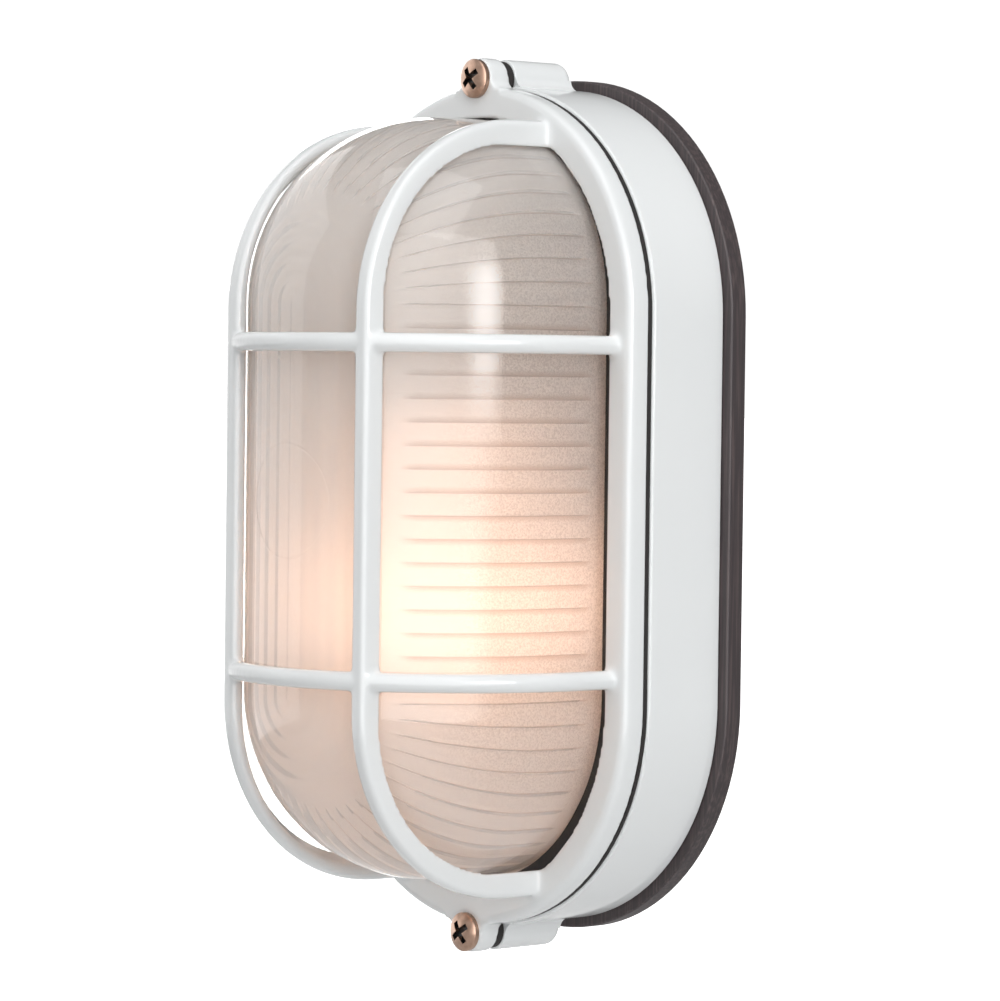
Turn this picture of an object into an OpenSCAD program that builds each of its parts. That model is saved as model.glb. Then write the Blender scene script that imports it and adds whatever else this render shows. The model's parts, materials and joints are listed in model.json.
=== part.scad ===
// Oval bulkhead light: a cast base on a rubber wall gasket, a pressed glass lens and a cast cage guard.
// Pieces are drawn lying on the wall plane (x across, y up, z out from it), then stood up by on_wall().
// The origin is on the base's back face, midway between its two wall fixing holes.

/* [Base] */
// Width of the cast base across its straight sides
base_w = 111; // [106:0.5:120]
// Height of the cast base without its screw lugs
base_h = 203; // [195:1:225]
// Depth of the cast base from its back face to its rim
base_depth = 22.8; // [21:0.1:30]
// Thickness of the base's side wall
base_wall = 3.2; // [2.6:0.1:4]
// Thickness of the base's floor
base_floor = 4; // [3.5:0.1:5]
// Rounding of the base's outer edges
base_edge = 0.8; // [0.4:0.1:1.2]
// How far the ledge inside the rim stands in from the wall
ledge_w = 5; // [4.4:0.1:5.6]
// Thickness of the ledge inside the rim
ledge_t = 2.8; // [2:0.1:5]
// Distance between the two wall fixing holes
fixing_pitch = 90; // [80:1:96]
// Diameter of the wall fixing holes
fixing_d = 5.5; // [4.5:0.1:6.5]
// Diameter of the raised pad round a fixing hole
fixing_pad_d = 14; // [11:0.5:16]
// Height of the pads and of the earth boss above the floor
pad_h = 2; // [1:0.1:2.5]

/* [Wall gasket] */
// Thickness of the rubber gasket between base and wall
gasket_t = 5; // [4:0.1:7]
// How far the gasket stands out past the base all round
gasket_overhang = 2.5; // [1:0.1:4]
// Width of the gasket's band
gasket_band = 18; // [14:0.5:22]
// Rounding of the gasket's outer edges
gasket_edge = 0.6; // [0.3:0.1:1]

/* [Lugs and cover screws] */
// Radius of the screw lugs at top and bottom
lug_r = 5; // [4.6:0.1:6]
// Distance of a lug's axis past the end of the base
lug_out = 1.5; // [1:0.1:2.5]
// Radius of the fillet beside a lug
lug_fillet = 3; // [2:0.1:4]
// How far a base lug's back end lies in front of the base's back
lug_back = 3; // [1:0.1:4]
// Rounding of a base lug's back end
lug_back_edge = 2.4; // [1:0.1:3]
// How far a base lug's front face lies below the rim
lug_recess = 1; // [0.5:0.1:2]
// Diameter of the screws' shank
screw_d = 4; // [3.5:0.1:4.4]
// Diameter of the screws' pan head
head_d = 9.4; // [8:0.1:9.8]
// Height of the screws' pan head
head_h = 2.6; // [2.2:0.1:3.4]
// Depth of the cross recess in the head
recess_depth = 1.6; // [1:0.1:1.9]
// Length of the cross recess
recess_l = 5.8; // [4:0.1:6]
// Width of the cross recess
recess_w = 1.5; // [0.8:0.1:1.6]
// How deep the screw goes into the base lug
screw_grip = 15; // [10:0.5:18]
// Diameter of the rubber washer between the lugs
seal_d = 9; // [8:0.1:9.6]

/* [Guard] */
// How far the guard's ring lies in from the base's side
ring_inset = 0.5; // [0:0.1:1]
// Height of the guard's ring
ring_t = 6.1; // [5.4:0.1:8]
// Width of the ring's flat band
ring_band = 7.4; // [6.8:0.1:8]
// Thickness of the lip that holds the lens seal
ring_lip = 2.6; // [2:0.1:3]
// Rounding of the ring's front edge
ring_edge = 1.8; // [1:0.1:2.4]
// How far the cage's dome lies in from the ring's side
cage_inset = 3.4; // [3:0.1:3.8]
// Straight leg of the cage from the ring's face to its dome
cage_leg = 9.8; // [8:0.2:16]
// Distance of each upright arch from the middle
arch_x = 23.7; // [20:0.1:27]
// Width of an arch
arch_w = 4.6; // [4:0.1:6]
// Rounding of an arch's outer edges
arch_edge = 1.5; // [0.8:0.1:1.9]
// Height of each cross hoop above or below the middle
hoop_y = 39; // [30:0.5:42]
// Thickness of a cross hoop
hoop_d = 4.5; // [4:0.1:5.4]

/* [Lens] */
// Gap between the lens and the ring's opening
lens_play = 2.4; // [2:0.1:3]
// Thickness of the lens's glass
lens_wall = 3.5; // [3:0.1:4.5]
// How far the lens's dome starts in front of the cage's dome
lens_forward = 2.6; // [1.6:0.1:3]
// How far the lens sits above the middle of its opening
lens_raise = 1.9; // [0:0.1:2]
// Width of the flange round the lens's foot
flange_w = 3.2; // [2.6:0.1:3.4]
// Thickness of the flange round the lens's foot
flange_t = 2.6; // [2:0.1:2.8]
// Distance between the loops pressed inside the lens's front
loop_pitch = 4.3; // [3.8:0.1:5]
// Number of loops pressed inside the lens's front
loop_count = 5; // [3:1:5]
// Height of the loops pressed inside the lens's front
loop_h = 0.5; // [0.4:0.1:1.2]
// Number of reeds pressed inside each straight side of the lens
reed_count = 17; // [9:1:21]
// Number of reeds pressed round each end of the lens
reed_fan = 24; // [12:1:28]
// Width of the groove between two reeds
reed_gap = 1; // [0.6:0.1:1.4]
// Depth of the groove between two reeds
reed_depth = 0.6; // [0.3:0.1:0.9]
// Distance from the middle at which the reeds end in front
reed_front = 25.5; // [22:0.5:30]
// How far in front of the ring's face the reeds end behind
reed_lift = 0.5; // [0:0.1:4]

/* [Lens seal] */
// Thickness of the seal's web between ring and base, which shows as the seam
seal_web = 1.1; // [0.6:0.1:2]
// How far the web lies in from the base's side
web_inset = 0.7; // [0.6:0.1:2]
// Thickness of the seal's lip behind the lens flange
seal_back = 1; // [0.8:0.1:1.4]
// How far the seal reaches in past the base's ledge
seal_reach = 3; // [1:0.1:3.5]
// Room for the seal round the lens flange
seal_room = 1.4; // [1:0.1:1.5]
// How far the seal's collar round the lens lies below the ring's face
collar_drop = 1.3; // [0.6:0.1:2]

/* [Lamp] */
// Distance of the lamp's axis from the wall
lamp_out = 43; // [41:0.5:46]
// Height of the middle of the lamp's ball below the middle
lamp_drop = 21; // [16:0.5:24]
// Radius of the lamp's ball
ball_r = 28; // [24:0.5:29]
// Distance from the ball's middle to the cap
neck_l = 46; // [42:0.5:50]
// Radius of the lamp's screw cap
cap_r = 13; // [11:0.1:13]
// Length of the lamp's screw cap
cap_l = 24; // [20:0.5:26]
// Height of the contact on the cap's end
tip_h = 2; // [1:0.1:3]
// Radius of the contact on the cap's end
tip_r = 4.5; // [3:0.1:6]
// Rounding of the cap's end
cap_edge = 1.5; // [0.8:0.1:2]

/* [Lampholder] */
// Outer radius of the porcelain body
holder_r = 20; // [18.5:0.1:21]
// Thickness of the porcelain end that is fixed to the bracket
holder_end = 11; // [9:0.5:13]
// How far the porcelain skirt reaches over the lamp's neck
skirt_l = 2; // [1:0.1:4]
// Thickness of the metal screw shell
shell_t = 0.6; // [0.4:0.1:1]
// Radius of the centre contact
contact_r = 3; // [2:0.1:4]
// Thickness of the centre contact
contact_t = 2.4; // [1:0.1:3]

/* [Bracket and wiring] */
// Thickness of the bracket's sheet
sheet_t = 1.6; // [1:0.1:2]
// Width of the bracket
bracket_w = 32; // [28:1:34]
// Length of the bracket's foot on the base's floor
foot_l = 18; // [14:1:20]
// How far the bracket reaches out past the lamp's axis
bracket_over = 11; // [9:0.5:12]
// Distance between the two screws at either end of the bracket
bracket_pitch = 18; // [14:0.5:20]
// Diameter of the small screws' shank
small_d = 3.5; // [3:0.1:4]
// Diameter of the small screws' head
small_head_d = 6.6; // [5.5:0.1:7]
// Height of the small screws' head
small_head_h = 2.2; // [1.6:0.1:2.6]
// How deep the small screws go
small_grip = 2.5; // [1.5:0.1:2.8]
// Width of the slots and cross recesses in the small screws
small_slot_w = 0.9; // [0.6:0.1:1.2]
// Depth of the slots and cross recesses in the small screws
small_slot_depth = 1; // [0.6:0.1:1.4]
// How far a tapped hole goes past its screw's end
tap_over = 0.3; // [0.2:0.1:0.6]
// Width of the terminal block
block_w = 24; // [20:0.5:28]
// Height of the terminal block, along the wall
block_h = 14; // [12:0.5:16]
// Depth of the terminal block, out from the floor
block_t = 12; // [10:0.5:13]
// Distance of the terminal block below the middle
block_drop = 70; // [66:0.5:72]
// Distance between the two poles of the terminal block
pole_pitch = 12; // [10:0.5:13]
// Diameter of the insulated leads
lead_d = 2.6; // [2:0.1:3]
// Distance of each lead from the middle where it runs up the floor
lead_x = 17; // [15:0.5:18]
// Height of the cable entry above the middle
entry_y = 8; // [4:0.5:12]
// Diameter of the cable's hole through the grommet
entry_d = 9; // [7:0.5:10]
// Thickness of the grommet's rubber wall
grommet_wall = 4.5; // [3:0.1:5]
// Width of the grommet's flanges
grommet_flange = 2.5; // [1.5:0.1:3]
// Thickness of the grommet's flanges
grommet_lip = 2; // [1.5:0.1:3]
// Distance of the earth screw from the middle
earth_x = 30; // [28:0.5:34]
// Distance of the earth screw below the middle
earth_drop = 48; // [44:0.5:52]

/* [Clearances] */
// Gap between the lens and the cage
cage_clear = 0.5; // [0.3:0.1:0.8]
// Gap between the lens and its seal, and the seal and its recess
seal_clear = 0.2; // [0.1:0.05:0.3]
// Gap between a cover screw and the guard's hole
screw_clear = 0.3; // [0.2:0.05:0.5]
// Radial gap of a screw in its thread
thread_clear = 0.05; // [0.02:0.01:0.1]
// Gap between the lamp and the lampholder
lamp_clear = 0.35; // [0.3:0.05:0.6]
// Radial gap between parts that are pressed together
press_clear = 0.1; // [0.05:0.05:0.2]

/* [Hidden] */
$fn = 72;

enamel = "#e8ecee";
rubber = "#3b373a";
nickel = "#b59a88";
zinc = "#b9bcc0";
brass = "#c2a25a";
porcelain = "#f1eee6";
glass = "#e6d3c8";
lamp_glass = "#fff3dc";
red_wire = "#8a2b24";
white_wire = "#e4e1d8";

// how far a cut runs past the face that it opens
over = 1;

// half the straight length of the oval, and the radii of its ends
oval_half = (base_h - base_w) / 2;
base_r = base_w / 2;
base_in_r = base_r - base_wall;
ledge_r = base_in_r - ledge_w;
ring_r = base_r - ring_inset;
ring_open_r = ring_r - ring_band;
gasket_r = base_r + gasket_overhang;
cage_r = ring_r - cage_inset;
lens_r = ring_open_r - lens_play;
lens_in_r = lens_r - lens_wall;
flange_r = lens_r + flange_w;

// rounding of the small edges of castings, rubber and glass, and of porcelain
cast_edge = 0.5;
porcelain_edge = 1.5;

// distances out from the wall
base_z = gasket_t;
floor_z = base_z + base_floor;
rim_z = base_z + base_depth;
ring_z = rim_z + seal_web;
face_z = ring_z + ring_t;
lip_z = face_z - ring_lip;
collar_z = face_z - collar_drop;
cage_z = face_z + cage_leg;
lens_z = cage_z + lens_forward;
flange_z = rim_z + seal_back;
reed_z = face_z + reed_lift;

// guard
arch_r = sqrt(cage_r * cage_r - arch_x * arch_x);
arch_t = arch_r - sqrt(lens_in_r * lens_in_r - arch_x * arch_x);
hoop_r = cage_r - hoop_d / 2;
rebate_r = flange_r + lens_raise + seal_room;

// lugs and cover screws
lug_y = base_h / 2 + lug_out;
lug_z = base_z + lug_back;
base_lug_z = rim_z - lug_recess;
head_dome = head_h * 0.55;
small_slot_l = small_head_d * 0.6;
boss_rim = 1;
recess_turn = 35;

// lamp and lampholder, measured up along the lamp's axis from the ball's middle
neck_r = (cap_r * cap_r + neck_l * neck_l - ball_r * ball_r) / (2 * (ball_r - cap_r));
neck_touch = ball_r / (ball_r + neck_r);
cap_end = neck_l + cap_l;
tip_end = cap_end + tip_h;
shell_in_r = cap_r + lamp_clear;
shell_r = shell_in_r + shell_t;
holder_in_r = shell_r + press_clear;
holder_start = neck_l - skirt_l;
shell_inset = 1;
shell_start = holder_start + shell_inset;
holder_step = tip_end + lamp_clear + contact_t;
holder_top = holder_step + holder_end;
terminal_up = holder_step + holder_end / 2;

// bracket and wiring, as heights above the middle
bracket_y = holder_top - lamp_drop;
foot_mid_y = bracket_y + sheet_t + (foot_l - sheet_t) / 2;
terminal_y = terminal_up - lamp_drop;
block_top_y = block_h / 2 - block_drop;
pole_z = floor_z + block_t / 2;
lead_lift = 1;
lead_z = floor_z + lead_d / 2 + lead_lift;
lead_gap = 0.3;
lead_end_x = holder_r + lead_d / 2 + lead_gap;
lead_end_z = lamp_out - small_head_d / 2 - lead_gap;
insert_wall = 0.6;
insert_r = lead_d / 2 + insert_wall;
insert_inset = 2;
pole_screw_h = block_t / 2 - insert_r - insert_wall;
hole_r = entry_d / 2 + grommet_wall;
grommet_r = hole_r + grommet_flange;

// the route of one lead: out of its pole, down to the floor, up beside the lamp, then out to its terminal
lead_step = 4;
lead_lean = [1, 0.2, 0];
lead_low_y = block_top_y + 5 * lead_step;
lead_high_y = terminal_y - 6 * lead_step;
lead_route = [
    [pole_pitch / 2, block_top_y, pole_z],
    [pole_pitch / 2, block_top_y + lead_step, pole_z],
    [pole_pitch / 2 + lead_step, block_top_y + 2 * lead_step, pole_z - lead_step / 2],
    [lead_x, lead_low_y, lead_z],
    [lead_x, lead_low_y + (lead_high_y - lead_low_y) / 3, lead_z],
    [lead_x, lead_low_y + (lead_high_y - lead_low_y) * 2 / 3, lead_z],
    [lead_x, lead_high_y, lead_z],
    [lead_x, terminal_y - 2 * lead_step, lead_z + lead_step],
    [lead_end_x, terminal_y, lead_z + 3 * lead_step],
    [lead_end_x, terminal_y, lead_end_z - lead_step],
    [lead_end_x, terminal_y, lead_end_z]
];

// Stands a piece drawn on the wall plane upright, with its front towards -Y and the base's back at y = 0
module on_wall() {
    translate([0, base_z, 0]) rotate([90, 0, 0]) children();
}

// Sweeps a half profile (radius, distance from the wall) round the oval
module oval_sweep(half = oval_half) {
    for (side = [0, 180])
        rotate([0, 0, side]) translate([0, half, 0]) rotate_extrude(angle = 180) children();
    rotate([90, 0, 0]) linear_extrude(2 * half, center = true) {
        children();
        mirror([1, 0]) children();
    }
}

// Half profile of a plate from z0 to z1 with rounded outer edges
module plate_profile(r, z0, z1, edge0, edge1) {
    translate([0, z0]) square([r - max(edge0, edge1), z1 - z0]);
    translate([0, z0 + edge0]) square([r, z1 - z0 - edge0 - edge1]);
    translate([0, z0]) square([r - edge0, edge0]);
    translate([0, z1 - edge1]) square([r - edge1, edge1]);
    translate([r - edge0, z0 + edge0]) circle(edge0);
    translate([r - edge1, z1 - edge1]) circle(edge1);
}

// Half profile of a domed solid from z0 to the front
module dome_profile(r, z0) {
    translate([0, z0]) square([r, lens_z - z0]);
    translate([0, lens_z]) intersection() {
        circle(r);
        square([r, r]);
    }
}

// Places children on the lug axes at top and bottom
module at_lugs() {
    for (side = [0, 180])
        rotate([0, 0, side]) translate([0, lug_y, 0]) children();
}

// Fillets that join a lug of radius r to the end of an oval of radius body_r
module lug_blend(r, body_r) {
    reach = r + lug_fillet;
    foot = oval_half + sqrt(body_r * body_r - reach * reach) - lug_y;
    rise = foot + lug_fillet;
    out = sqrt(reach * reach - rise * rise);
    top = r * rise / reach;
    difference() {
        translate([-out, foot - lug_fillet]) square([2 * out, top - foot + lug_fillet]);
        for (side = [-1, 1])
            translate([side * out, rise]) circle(lug_fillet);
    }
}

// A pan or small screw along +z, with the underside of its head at z = 0
module screw(d, hd, hh, dome, grip, slot_l, slot_w, slot_depth) {
    difference() {
        rotate_extrude() {
            square([hd / 2, hh - dome]);
            translate([0, hh - dome]) intersection() {
                square([hd / 2, dome]);
                translate([0, dome - dome_radius(hd / 2, dome)]) circle(dome_radius(hd / 2, dome));
            }
            translate([0, -grip]) square([d / 2, grip]);
        }
        for (turn = [0, 90])
            rotate([0, 0, turn]) translate([-slot_l / 2, -slot_w / 2, hh - slot_depth])
                cube([slot_l, slot_w, slot_depth + over]);
    }
}

function dome_radius(half, rise) = (half * half + rise * rise) / (2 * rise);

// One small cross-head screw
module small_screw(grip = small_grip) {
    screw(small_d, small_head_d, small_head_h, small_head_h / 2, grip, small_slot_l,
        small_slot_w, small_slot_depth);
}

// Points along a smooth curve through the route
function route_point(p, i, t) =
    let (a = p[max(i - 1, 0)], b = p[i], c = p[i + 1], d = p[min(i + 2, len(p) - 1)])
    b + t * (c - a) / 2 + t * t * (a - 2.5 * b + 2 * c - d / 2) + t * t * t * (1.5 * (b - c) + (d - a) / 2);
function smooth_route(p, steps) = concat(
    [for (i = [0 : len(p) - 2]) for (s = [0 : steps - 1]) route_point(p, i, s / steps)], [p[len(p) - 1]]);
function unit(v) = v / norm(v);
function heading(p, i) = unit(p[min(i + 1, len(p) - 1)] - p[max(i - 1, 0)]);

// A round lead along a route
module lead_tube(route, d, sides = 8) {
    path = smooth_route(route, 3);
    rings = len(path);
    points = [for (i = [0 : rings - 1])
        let (along = heading(path, i))
        let (across = unit(cross(along, lead_lean)), other = cross(along, across))
        for (k = [0 : sides - 1])
            path[i] + d / 2 * (cos(360 * k / sides) * across + sin(360 * k / sides) * other)];
    walls = [for (i = [0 : rings - 2]) for (k = [0 : sides - 1])
        let (n = (k + 1) % sides)
        [i * sides + k, (i + 1) * sides + k, (i + 1) * sides + n, i * sides + n]];
    ends = [[for (k = [0 : sides - 1]) k], [for (k = [sides - 1 : -1 : 0]) (rings - 1) * sides + k]];
    polyhedron(points, concat(walls, ends));
}

// Rubber gasket that seals the base to the wall
module rear_gasket() {
    color(rubber) on_wall() oval_sweep() difference() {
        plate_profile(gasket_r, 0, gasket_t, gasket_edge, gasket_edge);
        translate([0, -over]) square([gasket_r - gasket_band, gasket_t + 2 * over]);
    }
}

// Cast base: a tub with a rim ledge, screw lugs, fixing pads and the cable hole
module base_housing() {
    color(enamel) on_wall() difference() {
        union() {
            oval_sweep() difference() {
                plate_profile(base_r, base_z, rim_z, base_edge, base_edge);
                translate([0, floor_z]) square([base_in_r, rim_z - ledge_t - floor_z]);
                translate([0, floor_z]) square([ledge_r, base_depth]);
            }
            at_lugs() {
                rotate_extrude() plate_profile(lug_r, lug_z, base_lug_z, lug_back_edge, cast_edge);
                translate([0, 0, lug_z + base_edge]) linear_extrude(base_lug_z - lug_z - base_edge)
                    lug_blend(lug_r, base_r);
            }
            for (side = [-1, 1])
                translate([0, side * fixing_pitch / 2, base_z])
                    cylinder(h = base_floor + pad_h, d = fixing_pad_d);
            translate([earth_x, -earth_drop, base_z])
                cylinder(h = base_floor + pad_h, r = small_head_d / 2 + boss_rim);
        }
        for (side = [-1, 1])
            translate([0, side * fixing_pitch / 2, 0]) cylinder(h = rim_z, d = fixing_d);
        translate([0, entry_y, 0]) cylinder(h = rim_z, r = hole_r);
        at_lugs() {
            translate([0, 0, base_lug_z - screw_grip - over])
                cylinder(h = screw_grip + lug_recess + 2 * over, r = screw_d / 2 + thread_clear);
            translate([0, 0, base_lug_z]) cylinder(h = lug_recess + over, r = lug_r);
        }
        for (side = [-1, 1])
            translate([side * bracket_pitch / 2, foot_mid_y, floor_z - small_grip - tap_over])
                cylinder(h = small_grip + over, r = small_d / 2 + thread_clear);
        translate([earth_x, -earth_drop, floor_z + pad_h - small_grip - tap_over])
            cylinder(h = small_grip + over, r = small_d / 2 + thread_clear);
    }
}

// Rubber grommet in the cable hole of the base's floor
module cable_grommet() {
    color(rubber) on_wall() translate([0, entry_y, 0]) rotate_extrude() difference() {
        union() {
            translate([0, base_z]) square([hole_r - press_clear, base_floor]);
            plate_profile(grommet_r, floor_z, floor_z + grommet_lip, cast_edge, grommet_lip / 2);
            plate_profile(grommet_r, base_z - grommet_lip, base_z, grommet_lip / 2, cast_edge);
        }
        square([entry_d / 2, rim_z]);
    }
}

// Porcelain terminal block with two poles
module terminal_block() {
    color(porcelain) on_wall() difference() {
        translate([-block_w / 2, -block_drop - block_h / 2, floor_z]) cube([block_w, block_h, block_t]);
        for (side = [-1, 1])
            translate([side * pole_pitch / 2, -block_drop, 0]) {
                translate([0, block_h, pole_z]) rotate([90, 0, 0])
                    cylinder(h = 2 * block_h, r = insert_r + press_clear);
                translate([0, 0, pole_z]) cylinder(h = block_t, r = small_head_d / 2 + press_clear);
            }
    }
}

// Brass tubes inside the terminal block
module terminal_inserts() {
    color(brass) on_wall() for (side = [-1, 1])
        translate([side * pole_pitch / 2, -block_drop, pole_z]) rotate([90, 0, 0]) difference() {
            cylinder(h = block_h - 2 * insert_inset, r = insert_r, center = true);
            cylinder(h = block_h, r = insert_r - insert_wall, center = true);
        }
}

// Clamping screws of the terminal block
module terminal_screws() {
    color(brass) on_wall() for (side = [-1, 1])
        translate([side * pole_pitch / 2, -block_drop, pole_z + insert_r + press_clear]) difference() {
            cylinder(h = pole_screw_h, d = small_head_d);
            translate([-small_head_d, -small_slot_w / 2, pole_screw_h - small_slot_depth])
                cube([2 * small_head_d, small_slot_w, 2 * small_slot_depth]);
        }
}

// Lead from the terminal block to the lampholder's centre contact
module line_lead() {
    color(red_wire) on_wall() lead_tube(lead_route, lead_d);
}

// Lead from the terminal block to the lampholder's screw shell
module neutral_lead() {
    color(white_wire) on_wall() lead_tube([for (p = lead_route) [-p[0], p[1], p[2]]], lead_d);
}

// Earth screw in its boss on the floor
module earth_screw() {
    color(brass) on_wall() translate([earth_x, -earth_drop, floor_z + pad_h]) small_screw();
}

// Folded sheet bracket that carries the lampholder
module holder_bracket() {
    color(zinc) on_wall() difference() {
        union() {
            translate([-bracket_w / 2, bracket_y, floor_z])
                cube([bracket_w, sheet_t, lamp_out + bracket_over - floor_z]);
            translate([-bracket_w / 2, bracket_y, floor_z]) cube([bracket_w, foot_l, sheet_t]);
        }
        for (side = [-1, 1]) {
            translate([side * bracket_pitch / 2, foot_mid_y, floor_z - over])
                cylinder(h = sheet_t + 2 * over, r = small_d / 2 + screw_clear);
            translate([side * bracket_pitch / 2, bracket_y - over, lamp_out]) rotate([-90, 0, 0])
                cylinder(h = sheet_t + 2 * over, r = small_d / 2 + screw_clear);
        }
    }
}

// Screws that hold the bracket's foot to the base
module bracket_screws() {
    color(zinc) on_wall() for (side = [-1, 1])
        translate([side * bracket_pitch / 2, foot_mid_y, floor_z + sheet_t])
            small_screw(small_grip + sheet_t);
}

// Stands a piece that is turned about the lamp's axis in its place
module on_lamp_axis() {
    translate([0, -lamp_drop, lamp_out]) rotate([-90, 0, 0]) children();
}

// Turned porcelain body of the lampholder
module lampholder_body() {
    color(porcelain) on_wall() on_lamp_axis() difference() {
        rotate_extrude() difference() {
            plate_profile(holder_r, holder_start, holder_top, porcelain_edge, porcelain_edge);
            translate([0, holder_start - over])
                square([holder_in_r, tip_end + lamp_clear - holder_start + over]);
            square([contact_r + press_clear, holder_step]);
        }
        for (side = [-1, 1]) {
            translate([side * bracket_pitch / 2, 0, holder_top - small_grip - tap_over])
                cylinder(h = small_grip + over, r = small_d / 2 + thread_clear);
            translate([side * (holder_r - small_grip - tap_over), 0, terminal_up]) rotate([0, side * 90, 0])
                cylinder(h = small_grip + over, r = small_d / 2 + thread_clear);
        }
    }
}

// Metal screw shell inside the lampholder
module lampholder_shell() {
    color(brass) on_wall() on_lamp_axis() rotate_extrude()
        translate([shell_in_r, shell_start]) square([shell_t, cap_end - shell_start]);
}

// Centre contact of the lampholder
module lampholder_contact() {
    color(brass) on_wall() on_lamp_axis() translate([0, 0, tip_end + lamp_clear])
        cylinder(h = contact_t, r = contact_r);
}

// Screws that hold the lampholder to its bracket
module lampholder_screws() {
    color(zinc) on_wall() for (side = [-1, 1])
        translate([side * bracket_pitch / 2, bracket_y + sheet_t, lamp_out]) rotate([-90, 0, 0])
            small_screw(small_grip + sheet_t);
}

// Terminal screws on either side of the lampholder
module lampholder_terminals() {
    color(brass) on_wall() on_lamp_axis() for (side = [-1, 1])
        translate([side * holder_r, 0, terminal_up]) rotate([0, side * 90, 0]) small_screw();
}

// Frosted lamp with its screw cap, one sealed solid
module bulb() {
    color(lamp_glass) on_wall() on_lamp_axis() rotate_extrude() {
        intersection() {
            circle(ball_r);
            translate([0, -ball_r]) square([ball_r, 2 * ball_r]);
        }
        difference() {
            polygon([
                [0, 0], [neck_touch * (cap_r + neck_r), neck_touch * neck_l],
                [neck_touch * (cap_r + neck_r), neck_l], [0, neck_l]
            ]);
            translate([cap_r + neck_r, neck_l]) circle(neck_r);
        }
        plate_profile(cap_r, neck_l, cap_end, cast_edge, cap_edge);
        plate_profile(tip_r, cap_end - cap_edge, tip_end, cast_edge, tip_h / 2);
    }
}

// Half profile of the lens: domed glass with a flange at its foot and loops pressed inside its front
module lens_profile() {
    difference() {
        union() {
            dome_profile(lens_r, flange_z);
            plate_profile(flange_r, flange_z, flange_z + flange_t, cast_edge, cast_edge);
        }
        difference() {
            dome_profile(lens_in_r, flange_z - over);
            for (loop = [0 : loop_count - 1])
                loop_bead((loop + 0.5) * loop_pitch);
        }
    }
}

// Section of one pressed loop, a round bead on the inside of the dome
module loop_bead(r) {
    bead_r = dome_radius(loop_pitch / 2, loop_h);
    turn = asin(r / lens_in_r);
    translate([0, lens_z]) rotate(-turn) translate([0, lens_in_r + bead_r - loop_h]) circle(bead_r);
}

// Groove between two reeds: straight along the side wall, then round into the dome
module reed_groove() {
    translate([lens_in_r - reed_depth, -reed_gap / 2, reed_z])
        cube([2 * reed_depth, reed_gap, lens_z - reed_z]);
    translate([0, 0, lens_z]) rotate([90, 0, 0]) rotate_extrude(angle = acos(reed_front / lens_in_r))
        translate([lens_in_r - reed_depth, -reed_gap / 2]) square([2 * reed_depth, reed_gap]);
}

// Pressed glass lens, reeded inside all round, seated a little high in its seal
module lens() {
    color(glass) on_wall() translate([0, lens_raise, 0]) difference() {
        oval_sweep() lens_profile();
        for (side = [0, 180], i = [0 : reed_count])
            rotate([0, 0, side]) translate([0, (2 * i / reed_count - 1) * oval_half, 0]) reed_groove();
        for (end = [0, 180], i = [1 : reed_fan - 1])
            rotate([0, 0, end]) translate([0, oval_half, 0]) rotate([0, 0, 180 * i / reed_fan]) reed_groove();
    }
}

// Rubber seal: a channel round the lens flange, a collar round the lens and a web between ring and base
module lens_seal() {
    color(rubber) on_wall() difference() {
        oval_sweep() {
            translate([ledge_r, rim_z]) square([base_r - web_inset - ledge_r, seal_web]);
            translate([ledge_r - seal_reach, rim_z])
                square([rebate_r - seal_clear - ledge_r + seal_reach, lip_z - rim_z]);
            translate([ledge_r - seal_reach, rim_z])
                square([ring_open_r - press_clear - ledge_r + seal_reach, collar_z - rim_z]);
        }
        translate([0, lens_raise, 0]) oval_sweep() {
            translate([0, flange_z]) square([flange_r + seal_clear, flange_t]);
            translate([0, flange_z]) square([lens_r + seal_clear, face_z]);
        }
        at_lugs() cylinder(h = face_z, d = seal_d + 2 * seal_clear);
    }
}

// Section of a cage bar: r0 to r1 along x, w wide along y, with its outer edges rounded
module bar_section(r0, r1, w, edge) {
    translate([r0, -w / 2]) square([r1 - edge - r0, w]);
    translate([r0, edge - w / 2]) square([r1 - r0, w - 2 * edge]);
    for (side = [-1, 1])
        translate([r1 - edge, side * (w / 2 - edge)]) circle(edge);
}

// One upright arch of the cage: two legs, two quarter bends and a straight front
module arch() {
    for (side = [-1, 1]) {
        translate([0, side * oval_half, collar_z]) rotate([0, 0, side * 90]) linear_extrude(cage_z - collar_z)
            bar_section(arch_r - arch_t, arch_r, arch_w, arch_edge);
        translate([0, side * oval_half, cage_z]) rotate([0, 90, 0]) rotate([0, 0, 135 - side * 45])
            rotate_extrude(angle = 90) bar_section(arch_r - arch_t, arch_r, arch_w, arch_edge);
    }
    translate([0, -oval_half, cage_z]) rotate([-90, -90, 0]) linear_extrude(2 * oval_half)
        bar_section(arch_r - arch_t, arch_r, arch_w, arch_edge);
}

// One cross hoop of the cage: a half ring on two straight legs
module hoop() {
    translate([0, 0, cage_z]) rotate([-90, 0, 0]) rotate([0, 0, 180]) rotate_extrude(angle = 180)
        translate([hoop_r, 0]) circle(d = hoop_d);
    for (side = [-1, 1])
        translate([side * hoop_r, 0, collar_z]) cylinder(h = cage_z - collar_z, d = hoop_d);
}

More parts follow.
